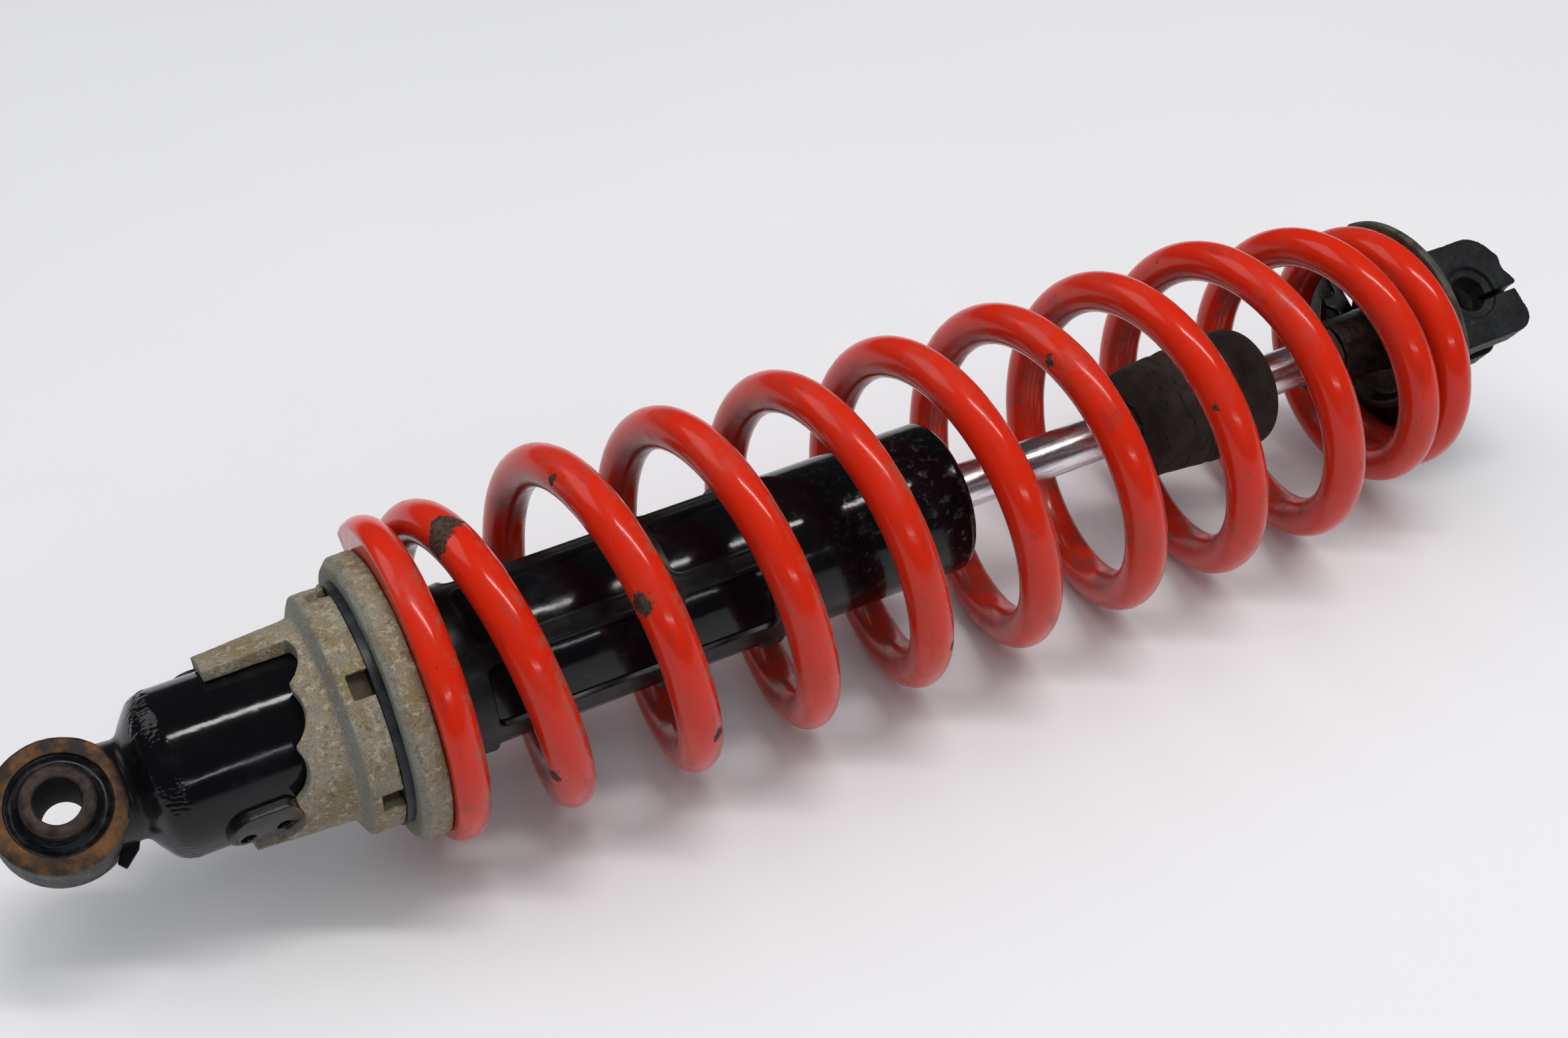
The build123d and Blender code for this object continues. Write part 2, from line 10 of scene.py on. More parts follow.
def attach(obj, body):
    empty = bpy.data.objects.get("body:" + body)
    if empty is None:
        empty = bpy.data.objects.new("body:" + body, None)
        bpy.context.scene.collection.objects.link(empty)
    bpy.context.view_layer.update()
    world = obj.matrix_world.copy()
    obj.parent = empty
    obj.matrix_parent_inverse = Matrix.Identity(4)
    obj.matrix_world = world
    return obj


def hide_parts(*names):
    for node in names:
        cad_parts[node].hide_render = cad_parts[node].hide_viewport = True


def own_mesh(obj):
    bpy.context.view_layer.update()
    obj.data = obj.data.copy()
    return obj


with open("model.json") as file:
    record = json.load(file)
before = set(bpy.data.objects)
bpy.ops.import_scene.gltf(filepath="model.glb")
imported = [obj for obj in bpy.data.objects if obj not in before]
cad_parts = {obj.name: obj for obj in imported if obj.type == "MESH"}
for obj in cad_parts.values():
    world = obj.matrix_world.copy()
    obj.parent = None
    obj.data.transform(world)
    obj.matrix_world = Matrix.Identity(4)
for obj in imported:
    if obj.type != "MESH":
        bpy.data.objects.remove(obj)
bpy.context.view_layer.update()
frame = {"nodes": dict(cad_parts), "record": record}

MM = 0.001
SLOT_OF = {part["node"]: part["material_slot"] for part in frame["record"]["subparts"]}
BODY_OF = {node: body for body, nodes in frame["record"]["behaviour"]["bodies"].items() for node in nodes}

# Driving sizes, in millimetres, in the CAD frame: +X runs from the eye to the clevis.
# An angle about the damper axis is counted from +Y towards +Z.
PIN_ANGLE = 122.0            # direction of both bolt bores
PIN_DIRECTION = (0.0, cos(radians(PIN_ANGLE)), sin(radians(PIN_ANGLE)))
SEAT_FACE = 78.9
RETAINER_FACE = 374.0
FLOOR_Z = -45.85

# Eye, neck and end cap
EYE_RING_R = 15.4
EYE_RING_BORE_R = 11.55
EYE_HALF_LENGTH = 9.25
EYE_SLEEVE_R = 8.2
EYE_SLEEVE_BORE_R = 5.15
EYE_SLEEVE_HALF_LENGTH = 14.0
NECK_R = 12.2
NECK_START = 12.0
NECK_SADDLE_END = 14.0       # up to here the neck follows the curve of the eye ring
CAP_EDGE = 26.0              # where the cap meets the tube
CAP_PLUG_R = 17.6            # the part of the cap that is inside the tube
CAP_PLUG_END = 33.5
CAP_RIPPLES = (17.5, 25.9)   # where the hammered weld marks start and end
CAP_RIPPLE_COUNT = 118
TAB_ANGLE = 222.0
TAB_HALF_WIDTH = 1.4
TUBE_R = 20.0

# Stop lugs
LUG_ANGLE = 195.0
LUG_START = 30.4
LUG_END = 47.9
LUG_HALF_WIDTH = 6.4
LUG_NOSE = 3.4               # length of the flatter end towards the cam
LUG_HOLES = ((35.2, 2.2), (43.6, 1.8))       # place along the damper and shift round the tube
LUG_HOLE_R = 1.9

# Guide sleeve
SLEEVE_START = 79.5
SLEEVE_END = 172.0
SLEEVE_R = 21.2
SLEEVE_BORE_R = 20.12
SLEEVE_WINDOWS = ((96.0, 139.5), (146.0, 168.0))     # start and end of each window along the damper
SLEEVE_WINDOW_ROWS = 6
SLEEVE_WINDOW_ANGLE = 101.0  # middle of the first row
SLEEVE_WINDOW_ARC = 44.0
SLEEVE_WINDOW_CORNER = 2.2

# Bump stop
BUMP_START = 287.0
BUMP_END = 326.0
BUMP_R = 16.7
BUMP_BORE_R = 6.35
BUMP_CREASED_END = 306.5

# Spring wire
WIRE_R = 5.4
COIL_R = 39.3
COIL_START_R = 35.0
COIL_END_R = 30.3
COIL_PITCH = 31.6
COIL_CLOSED_PITCH = 10.8     # pitch of the last turn, against the retainer
COIL_FIRST = 82.4            # wire centre of the closed coil at the seat
COIL_FRONT_ANGLE = 135.0     # angle of the wire at a whole number of turns
COIL_TURNS = (-0.28, 10.45)
COIL_RISE = (0.07, 0.6)      # turn where the pitch starts to open, and the turns it takes
COIL_FALL = (8.87, 0.6)      # turn where the pitch starts to close, and the turns it takes
COIL_LEAN = (3.1, 0.0155)    # the spring stands off the damper axis by first - second * x
COIL_LEAN_ANGLE = 45.0

# The larger paint chips: turn along the wire, angle round it from the outside, size in millimetres
CHIPS = ((0.86, -15.0, 3.2), (0.87, -60.0, 3.0), (0.865, -38.0, 3.0), (0.86, 20.0, 1.8), (2.0, -55.0, 2.6),
         (1.85, -65.0, 1.4), (1.15, -65.0, 2.0), (2.15, 30.0, 1.7), (5.9, -70.0, 1.3), (7.0, -60.0, 1.0),
         (4.15, 40.0, 1.2))

# Castings and forgings copied from the CAD: name, node, grain of the mesh, and lumps as (size, height) pairs
WEATHERED = (
    ("preload_cam_casting", "preload_cam", 0.34, ((7.0, 0.14), (1.5, 0.06))),
    ("spring_seat_casting", "spring_seat", 0.42, ((9.0, 0.14), (1.6, 0.07))),
    ("clevis_forging", "clevis", 0.38, ((6.0, 0.16), (1.7, 0.09))),
    ("spring_retainer_steel", "spring_retainer", 0.42, ((9.0, 0.12), (2.0, 0.05))),
)
SOFTEN_ROUNDS = 3

# Stage, in metres and degrees
CAMERA_PLACE = (-0.00214, -0.34353, 0.35966)
CAMERA_TURN = (48.16, 0.0, -28.13)
CAMERA_LENS = 48.33
LIGHT_AIM = (0.2, 0.0, 0.0)
CEILING_TURN = -31.0


# ---------------------------------------------------------------- shapes

def ease(share):
    share = np.clip(share, 0.0, 1.0)
    return share * share * (3 - 2 * share)


def ease_area(share):
    """Area under ease() from 0 to share."""
    inside = np.clip(share, 0.0, 1.0)
    return inside ** 3 - inside ** 4 / 2 + np.maximum(share - 1.0, 0.0)


def new_piece(name, points, faces, node, sharp=35.0):
    """A mesh piece, given in millimetres, that stands for a CAD node and moves with that node's body."""
    mesh = bpy.data.meshes.new(name)
    mesh.from_pydata([tuple(p) for p in np.asarray(points, float) * MM], [], faces)
    mesh.validate()
    finish_mesh(mesh, sharp)
    piece = bpy.data.objects.new(name, mesh)
    bpy.context.scene.collection.objects.link(piece)
    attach(piece, BODY_OF[node])
    return piece


def finish_mesh(mesh, sharp):
    """No stray points, outward normals, smooth shading, and sharp edges above an angle in degrees."""
    work = bmesh.new()
    work.from_mesh(mesh)
    bmesh.ops.delete(work, geom=[v for v in work.verts if not v.link_faces], context="VERTS")
    bmesh.ops.recalc_face_normals(work, faces=work.faces)
    work.to_mesh(mesh)
    work.free()
    mesh.shade_smooth()
    mesh.set_sharp_from_angle(angle=radians(sharp))


def grid_faces(rows, columns, wrap_rows=False, wrap_columns=True):
    """Quads over a grid of rows x columns points."""
    faces = []
    for i in range(rows if wrap_rows else rows - 1):
        below = (i + 1) % rows
        for j in range(columns if wrap_columns else columns - 1):
            beside = (j + 1) % columns
            faces.append((i * columns + j, i * columns + beside,
                          below * columns + beside, below * columns + j))
    return faces


def rounded(corners, steps=6):
    """Closed outline from (x, r, corner radius) points."""
    outline = []
    count = len(corners)
    for i in range(count):
        here = Vector(corners[i][:2])
        before = Vector(corners[i - 1][:2]) - here
        after = Vector(corners[(i + 1) % count][:2]) - here
        radius = corners[i][2] if len(corners[i]) > 2 else 0
        if radius == 0:
            outline.append(tuple(here))
            continue
        reach = min(radius, 0.48 * before.length, 0.48 * after.length)
        start = here + before.normalized() * reach
        end = here + after.normalized() * reach
        for k in range(steps + 1):
            t = k / steps
            outline.append(tuple(start * (1 - t) ** 2 + here * 2 * t * (1 - t) + end * t ** 2))
    return outline


def divided(outline, longest):
    """The same closed outline with no run longer than given."""
    result = []
    for i, start in enumerate(outline):
        end = outline[(i + 1) % len(outline)]
        count = max(1, ceil(hypot(end[0] - start[0], end[1] - start[1]) / longest))
        for k in range(count):
            result.append(tuple(a + (b - a) * k / count for a, b in zip(start, end)))
    return result


def lathe(name, outline, node, segments, relief):
    """Closed outline of (x, radius) turned about the damper axis; relief moves a point outward."""
    points = []
    for x, r in outline:
        for j in range(segments):
            angle = 2 * pi * j / segments
            lift = relief(x, r, angle)
            points.append((x, (r + lift) * cos(angle), (r + lift) * sin(angle)))
    return new_piece(name, points, grid_faces(len(outline), segments, wrap_rows=True), node)


def along_pin(x, across, along):
    """Point from its place along the damper, across the bolt and along the bolt."""
    angle = radians(PIN_ANGLE)
    return x, along * cos(angle) + across * sin(angle), along * sin(angle) - across * cos(angle)


def rough(point, size, seed):
    """Smooth noise from -1 to 1 at a point in millimetres."""
    return noise.noise(Vector(point) / size + Vector((seed, seed * 1.7, -seed)))


def weathered(name, node, grain, lumps):
    """The CAD node as a casting or a forging: soft edges and an uneven skin, from the values in WEATHERED."""
    source = bpy.data.objects.new("source", frame["nodes"][node].data.copy())
    bpy.context.scene.collection.objects.link(source)
    work = bmesh.new()
    work.from_mesh(source.data)
    bmesh.ops.remove_doubles(work, verts=work.verts, dist=1e-6)
    work.to_mesh(source.data)
    work.free()
    remesh = source.modifiers.new("remesh", "REMESH")
    remesh.mode = "VOXEL"
    remesh.voxel_size = grain * MM
    soften = source.modifiers.new("soften", "SMOOTH")
    soften.factor = 0.5
    soften.iterations = SOFTEN_ROUNDS
    bpy.context.view_layer.update()
    evaluated = source.evaluated_get(bpy.context.evaluated_depsgraph_get())
    mesh = bpy.data.meshes.new_from_object(evaluated)
    bpy.data.objects.remove(source)
    places = np.array([v.co for v in mesh.vertices]) / MM
    normals = np.array([v.normal for v in mesh.vertices])
    lift = np.array([sum(height * rough(place, size, k + 1.3) for k, (size, height) in enumerate(lumps))
                     for place in places])
    places = (places + normals * lift[:, None]) * MM
    mesh.vertices.foreach_set("co", places.astype(np.float32).ravel())
    mesh.materials.clear()
    mesh.name = name
    mesh.shade_smooth()
    piece = bpy.data.objects.new(name, mesh)
    bpy.context.scene.collection.objects.link(piece)
    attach(piece, BODY_OF[node])
    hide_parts(node)
    return piece


# ---------------------------------------------------------------- materials

class Shade:
    """A material and short names for the nodes that its pattern needs. Pattern sizes are in millimetres."""

    def __init__(self, name, coords=None):
        self.material = bpy.data.materials.new(name)
        self.material.use_nodes = True
        self.nodes = self.material.node_tree.nodes
        self.links = self.material.node_tree.links
        self.surface = self.nodes["Principled BSDF"]
        if coords:
            source = self.nodes.new("ShaderNodeAttribute")
            source.attribute_name = coords
            self.place = source.outputs["Vector"]
        else:
            self.place = self.nodes.new("ShaderNodeTexCoord").outputs["Object"]

    def link(self, value, socket):
        if isinstance(value, bpy.types.NodeSocket):
            self.links.new(value, socket)
        elif isinstance(value, tuple) and len(value) == 3 and len(socket.default_value) == 4:
            socket.default_value = (*value, 1.0)
        else:
            socket.default_value = value

    def set(self, **values):
        for key, value in values.items():
            self.link(value, self.surface.inputs[key.replace("_", " ")])

    def math(self, operation, a, b=0.0):
        node = self.nodes.new("ShaderNodeMath")
        node.operation = operation
        self.link(a, node.inputs[0])
        self.link(b, node.inputs[1])
        return node.outputs[0]

    def vector(self, operation, a, b, out="Vector"):
        node = self.nodes.new("ShaderNodeVectorMath")
        node.operation = operation
        self.link(a, node.inputs[0])
        self.link(b, node.inputs[1])
        return node.outputs[out]

    def stretched(self, x, y, z):
        """Pattern coordinates scaled along each axis."""
        return self.vector("MULTIPLY", self.place, (x, y, z))

    def noise(self, size, detail, rough, place=None, warp=0.0):
        node = self.nodes.new("ShaderNodeTexNoise")
        self.link(place or self.place, node.inputs["Vector"])
        node.inputs["Scale"].default_value = 1 / (size * MM)
        node.inputs["Detail"].default_value = detail
        node.inputs["Roughness"].default_value = rough
        node.inputs["Distortion"].default_value = warp
        return node.outputs["Fac"]

    def cells(self, size):
        node = self.nodes.new("ShaderNodeTexVoronoi")
        self.link(self.place, node.inputs["Vector"])
        node.inputs["Scale"].default_value = 1 / (size * MM)
        return node.outputs["Distance"]

    def step(self, value, start, end, low=0.0, high=1.0):
        """value mapped from start..end to low..high, held at both ends."""
        node = self.nodes.new("ShaderNodeMapRange")
        node.interpolation_type = "SMOOTHSTEP"
        self.link(value, node.inputs["Value"])
        for key, number in (("From Min", start), ("From Max", end), ("To Min", low), ("To Max", high)):
            node.inputs[key].default_value = number
        return node.outputs["Result"]

    def mix(self, share, a, b):
        node = self.nodes.new("ShaderNodeMix")
        node.data_type = "RGBA"
        self.link(share, node.inputs["Factor"])
        self.link(a, node.inputs[6])
        self.link(b, node.inputs[7])
        return node.outputs[2]

    def axis(self, index):
        """One coordinate of the pattern, in metres."""
        node = self.nodes.new("ShaderNodeSeparateXYZ")
        self.link(self.place, node.inputs[0])
        return node.outputs[index]

    def radius(self):
        """Distance from the damper axis, in metres."""
        flat = self.vector("MULTIPLY", self.place, (0.0, 1.0, 1.0))
        return self.vector("LENGTH", flat, (0.0, 0.0, 0.0), "Value")

    def near(self, point, size, uneven, wobble):
        """1 within size of a point in metres, 0 outside it, with an edge moved by wobble."""
        away = self.vector("DISTANCE", self.place, point, "Value")
        away = self.math("ADD", away, self.math("MULTIPLY", wobble, uneven * MM))
        return self.step(away, size * MM * 0.86, size * MM * 1.1, 1.0, 0.0)

    def most(self, values):
        total = values[0]
        for value in values[1:]:
            total = self.math("MAXIMUM", total, value)
        return total

    def facing(self, direction):
        """Cosine between the surface and a fixed direction of the object."""
        normal = self.nodes.new("ShaderNodeTexCoord").outputs["Normal"]
        return self.vector("DOT_PRODUCT", normal, direction, "Value")

    def bump(self, height, depth, strength, before=None):
        """Relief of a height map; depth in millimetres."""
        node = self.nodes.new("ShaderNodeBump")
        node.inputs["Strength"].default_value = strength
        node.inputs["Distance"].default_value = depth * MM
        self.link(height, node.inputs["Height"])
        if before is not None:
            self.link(before, node.inputs["Normal"])
        return node.outputs["Normal"]


def cast_alloy():
    s = Shade("cast_alloy")
    broad = s.noise(9.0, 4.0, 0.6)
    mottle = s.noise(1.7, 6.0, 0.62)
    grain = s.noise(0.45, 5.0, 0.7)
    colour = s.mix(s.step(broad, 0.35, 0.62), (0.235, 0.18, 0.098), (0.28, 0.25, 0.185))
    colour = s.mix(s.step(mottle, 0.5, 0.64, 0.0, 0.9), colour, (0.43, 0.38, 0.28))
    colour = s.mix(s.step(s.noise(2.2, 6.0, 0.7), 0.54, 0.66, 0.0, 0.85), colour, (0.15, 0.095, 0.045))
    colour = s.mix(s.step(s.noise(4.5, 5.0, 0.6, warp=0.8), 0.56, 0.72), colour, (0.22, 0.22, 0.205))
    eye_side = s.step(s.facing((-1.0, 0.0, 0.0)), 0.3, 0.85)
    worn = s.math("MULTIPLY", eye_side, s.step(mottle, 0.35, 0.6, 0.25, 0.8))
    colour = s.mix(worn, colour, (0.22, 0.245, 0.235))
    colour = s.mix(s.step(grain, 0.32, 0.52, 0.75, 0.0), colour, (0.085, 0.068, 0.045))
    # Dark brown inside the notches between the cam and the seat: brown dirt, and painted shade in these
    # recesses
    notch = s.math("MULTIPLY", s.step(s.radius(), 0.0272, 0.0262), s.step(s.axis(0), 0.0640, 0.0646))
    notch = s.math("MULTIPLY", notch, s.step(s.axis(0), 0.0702, 0.0698))
    colour = s.mix(s.math("MULTIPLY", notch, 0.85), colour, (0.05, 0.038, 0.026))
    s.set(Base_Color=colour, Metallic=0.12, Specular_IOR_Level=0.35)
    s.set(Roughness=s.step(mottle, 0.3, 0.7, 0.58, 0.85))
    pits = s.step(s.cells(1.1), 0.05, 0.35)
    s.set(Normal=s.bump(grain, 0.22, 0.8, s.bump(s.math("MULTIPLY", mottle, pits), 0.5, 0.6)))
    return s.material


def gloss_black():
    s = Shade("black_gloss_paint")
    dust = s.noise(14.0, 6.0, 0.65)
    scuffs = s.noise(1.0, 5.0, 0.6, s.stretched(0.18, 1.0, 1.0))
    rod_end = s.step(s.axis(0), 0.176, 0.215)
    neck = s.step(s.axis(0), 0.0185, 0.0165, 0.0, 0.18)
    worn = s.math("MULTIPLY", s.step(s.noise(2.4, 7.0, 0.72), 0.52, 0.66), rod_end)
    colour = s.mix(s.step(dust, 0.52, 0.75), (0.0035, 0.0035, 0.0045), (0.009, 0.009, 0.012))
    colour = s.mix(s.step(scuffs, 0.66, 0.8, 0.0, 0.5), colour, (0.05, 0.05, 0.055))
    colour = s.mix(s.math("MULTIPLY", worn, 0.6), colour, (0.06, 0.062, 0.066))
    base = s.math("ADD", s.step(dust, 0.35, 0.75, 0.08, 0.2), neck)
    s.set(Base_Color=colour, Specular_IOR_Level=0.3)
    s.set(Roughness=s.math("ADD", base, s.math("MULTIPLY", worn, 0.28)))
    s.set(Normal=s.bump(s.noise(4.5, 2.0, 0.4), 0.10, 0.5, s.bump(s.noise(0.8, 4.0, 0.6), 0.02, 0.35)))
    return s.material


def rusty_eye():
    s = Shade("eye_steel")
    face = s.step(s.math("ABSOLUTE", s.facing(PIN_DIRECTION)), 0.45, 0.8)
    broad = s.noise(6.0, 5.0, 0.6)
    grain = s.noise(0.8, 6.0, 0.7)
    rust = s.mix(s.step(broad, 0.38, 0.62), (0.028, 0.016, 0.011), (0.155, 0.062, 0.016))
    rust = s.mix(s.step(grain, 0.52, 0.72), rust, (0.075, 0.05, 0.036))
    wall = s.mix(s.step(broad, 0.4, 0.6), (0.014, 0.013, 0.013), (0.06, 0.056, 0.053))
    wall = s.mix(s.step(s.noise(2.2, 6.0, 0.7), 0.58, 0.7), wall, (0.17, 0.09, 0.045))
    s.set(Base_Color=s.mix(face, wall, rust), Metallic=0.25, Roughness=s.step(grain, 0.3, 0.7, 0.42, 0.78))
    s.set(Normal=s.bump(grain, 0.12, 0.8, s.bump(broad, 0.4, 0.4)))
    return s.material


def bush_rubber():
    s = Shade("bush_rubber")
    dust = s.noise(3.5, 6.0, 0.65)
    colour = s.mix(s.step(dust, 0.48, 0.78), (0.005, 0.0055, 0.007), (0.02, 0.021, 0.025))
    s.set(Base_Color=colour, Roughness=s.step(dust, 0.35, 0.7, 0.22, 0.5))
    s.set(Normal=s.bump(s.noise(0.6, 5.0, 0.6), 0.08, 0.6))
    return s.material


def sleeve_steel():
    s = Shade("sleeve_steel")
    wall = s.step(s.math("ABSOLUTE", s.facing(PIN_DIRECTION)), 0.5, 0.15)
    grain = s.noise(0.7, 6.0, 0.7)
    broad = s.noise(4.0, 4.0, 0.6)
    colour = s.mix(s.step(broad, 0.35, 0.65), (0.022, 0.017, 0.016), (0.065, 0.046, 0.038))
    colour = s.mix(s.step(grain, 0.55, 0.75, 0.0, 0.7), colour, (0.10, 0.075, 0.06))
    colour = s.mix(s.math("MULTIPLY", wall, 0.85), colour, (0.010, 0.007, 0.006))
    shine = s.math("ADD", s.step(grain, 0.3, 0.7, 0.4, 0.65), s.math("MULTIPLY", wall, 0.3))
    s.set(Base_Color=colour, Roughness=shine, Specular_IOR_Level=0.25)
    s.set(Metallic=s.step(wall, 0.0, 1.0, 0.35, 0.0))
    s.set(Normal=s.bump(grain, 0.1, 0.7))
    return s.material


def lug_steel():
    """Black, with the nose that the cam rubs on worn to rust."""
    s = Shade("lug_steel")
    grain = s.noise(0.7, 6.0, 0.7)
    edge = s.math("ADD", s.axis(0), s.math("MULTIPLY", s.noise(3.0, 5.0, 0.6), 0.006))
    rust = s.step(edge, 0.0485, 0.0505)
    colour = s.mix(s.step(grain, 0.5, 0.8), (0.005, 0.005, 0.006), (0.018, 0.017, 0.018))
    colour = s.mix(rust, colour, s.mix(s.step(grain, 0.35, 0.65), (0.05, 0.03, 0.02), (0.19, 0.115, 0.065)))
    s.set(Base_Color=colour, Roughness=s.math("ADD", s.math("MULTIPLY", rust, 0.45), 0.25))
    s.set(Normal=s.bump(grain, 0.1, 0.6))
    return s.material


def satin_plastic(name, colour, shine, dust_colour, dust_from):
    s = Shade(name)
    dust = s.noise(7.0, 7.0, 0.68)
    fine = s.noise(0.5, 4.0, 0.6)
    mixed = s.mix(s.step(dust, dust_from, dust_from + 0.2), colour, dust_colour)
    s.set(Base_Color=mixed, Roughness=s.step(dust, 0.35, 0.7, shine, shine + 0.2), Specular_IOR_Level=0.35)
    s.set(Normal=s.bump(fine, 0.03, 0.5))
    return s.material


def chrome():
    s = Shade("chromed_steel")
    specks = s.step(s.noise(0.55, 5.0, 0.65), 0.66, 0.72)
    film = s.noise(1.0, 6.0, 0.62, s.stretched(0.12, 1.0, 1.0))
    colour = s.mix(s.step(film, 0.5, 0.75, 0.0, 0.7), (0.80, 0.78, 0.82), (0.48, 0.42, 0.46))
    colour = s.mix(specks, colour, (0.10, 0.08, 0.08))
    s.set(Base_Color=colour, Metallic=1.0, Roughness=s.step(film, 0.4, 0.75, 0.2, 0.4))
    s.set(Normal=s.bump(film, 0.005, 0.4))
    return s.material


def bump_rubber():
    s = Shade("bump_rubber")
    grain = s.noise(0.55, 6.0, 0.7)
    broad = s.noise(8.0, 5.0, 0.6)
    colour = s.mix(s.step(broad, 0.35, 0.65), (0.016, 0.0125, 0.011), (0.03, 0.023, 0.019))
    colour = s.mix(s.step(grain, 0.58, 0.8, 0.0, 0.6), colour, (0.06, 0.05, 0.04))
    s.set(Base_Color=colour, Roughness=s.step(grain, 0.3, 0.7, 0.68, 0.92), Specular_IOR_Level=0.3)
    s.set(Normal=s.bump(grain, 0.12, 0.7))
    return s.material


def forged_black():
    """Black forging whose boss, inside the spring, is stained brown and shinier."""
    s = Shade("forged_black_steel")
    grain = s.noise(0.8, 6.0, 0.7)
    broad = s.noise(7.0, 5.0, 0.6)
    colour = s.mix(s.step(broad, 0.35, 0.65), (0.006, 0.007, 0.0085), (0.014, 0.0155, 0.017))
    colour = s.mix(s.step(s.noise(3.0, 7.0, 0.7), 0.6, 0.72), colour, (0.06, 0.05, 0.035))
    colour = s.mix(s.step(grain, 0.62, 0.8, 0.0, 0.6), colour, (0.045, 0.045, 0.045))
    boss = s.step(s.axis(0), 0.374, 0.372)
    stain = s.math("MULTIPLY", boss, s.step(s.noise(4.0, 6.0, 0.65), 0.42, 0.6, 0.0, 0.75))
    colour = s.mix(stain, colour, (0.055, 0.028, 0.013))
    shine = s.math("SUBTRACT", s.step(grain, 0.3, 0.7, 0.42, 0.7), s.math("MULTIPLY", boss, 0.22))
    s.set(Base_Color=colour, Metallic=0.2, Roughness=shine, Specular_IOR_Level=0.36)
    s.set(Normal=s.bump(grain, 0.16, 0.7, s.bump(broad, 0.5, 0.5)))
    return s.material


def retainer_steel():
    """Black plate with a dusty olive rim."""
    s = Shade("retainer_steel")
    grain = s.noise(0.9, 6.0, 0.7)
    dirt = s.noise(5.0, 7.0, 0.68)
    rim = s.step(s.radius(), 0.0292, 0.0305)
    inner = s.mix(s.step(dirt, 0.5, 0.72), (0.003, 0.003, 0.0035), (0.022, 0.014, 0.009))
    outer = s.mix(s.step(dirt, 0.35, 0.65), (0.03, 0.031, 0.024), (0.085, 0.084, 0.062))
    s.set(Base_Color=s.mix(rim, inner, outer), Specular_IOR_Level=0.3)
    s.set(Roughness=s.math("ADD", s.step(dirt, 0.4, 0.7, 0.2, 0.5), s.math("MULTIPLY", rim, 0.25)))
    s.set(Normal=s.bump(grain, 0.08, 0.7))
    return s.material


def turned_metal(name, colour, metal, shine, dirt_colour):
    """Bare metal with fine tool marks round the damper axis and some grime."""
    s = Shade(name)
    marks = s.noise(0.12, 2.0, 0.5, s.stretched(1.0, 0.03, 0.03))
    patches = s.noise(3.0, 6.0, 0.65)
    mixed = s.mix(s.step(patches, 0.5, 0.75, 0.0, 0.7), colour, dirt_colour)
    s.set(Base_Color=mixed, Metallic=metal, Roughness=s.step(patches, 0.3, 0.7, shine, shine + 0.2))
    s.set(Normal=s.bump(marks, 0.02, 0.5))
    return s.material


def coil_at(turn):
    """Wire centre (x, y, z) in millimetres at a number of turns from the seat."""
    turn = np.asarray(turn, float)
    opened = COIL_RISE[1] * ease_area((turn - COIL_RISE[0]) / COIL_RISE[1])
    closed = COIL_FALL[1] * ease_area((turn - COIL_FALL[0]) / COIL_FALL[1])
    x = COIL_FIRST + COIL_PITCH * opened - (COIL_PITCH - COIL_CLOSED_PITCH) * closed
    radius = COIL_START_R + (COIL_R - COIL_START_R) * ease(turn - 0.8)
    radius = radius + (COIL_END_R - COIL_R) * ease((turn - 8.0) / 1.6)
    angle = 2 * pi * turn + radians(COIL_FRONT_ANGLE)
    lean = COIL_LEAN[0] - COIL_LEAN[1] * x
    y = radius * np.cos(angle) + lean * cos(radians(COIL_LEAN_ANGLE))
    z = radius * np.sin(angle) + lean * sin(radians(COIL_LEAN_ANGLE))
    return np.stack([x, y, z], axis=-1)


